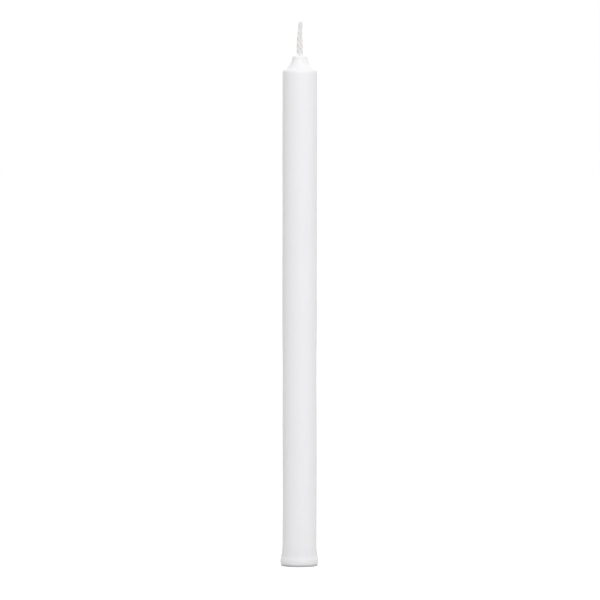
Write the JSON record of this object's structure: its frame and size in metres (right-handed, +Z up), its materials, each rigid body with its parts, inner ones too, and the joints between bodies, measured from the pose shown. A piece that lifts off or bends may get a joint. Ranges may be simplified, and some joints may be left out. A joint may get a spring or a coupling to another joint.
{
  "type": "vigil candle",
  "caption": "Straight slender wax candle with a stepped-in nipple, a drip bead round its flat foot and a short bare wick, burned at prayers and vigils.",
  "frame": {"origin": "centre of the cut foot, on the surface that the candle stands on", "axes": "+Z up the candle to its wick; -Y faces the picture's camera and +X is to its right"},
  "size_m": [0.0178, 0.0178, 0.2557],
  "materials": {
    "core_wax": "matt wax, cut and milled",
    "coat_wax": "smooth dipped wax with a soft satin sheen",
    "wick_cotton": "waxed cotton yarn"
  },
  "bodies": {
    "root": {"wax_core": "core_wax", "overdip_coat": "coat_wax", "wick_strand_1": "wick_cotton", "wick_strand_2": "wick_cotton", "wick_strand_3": "wick_cotton", "wick_strand_4": "wick_cotton"}
  },
  "joints": []
}
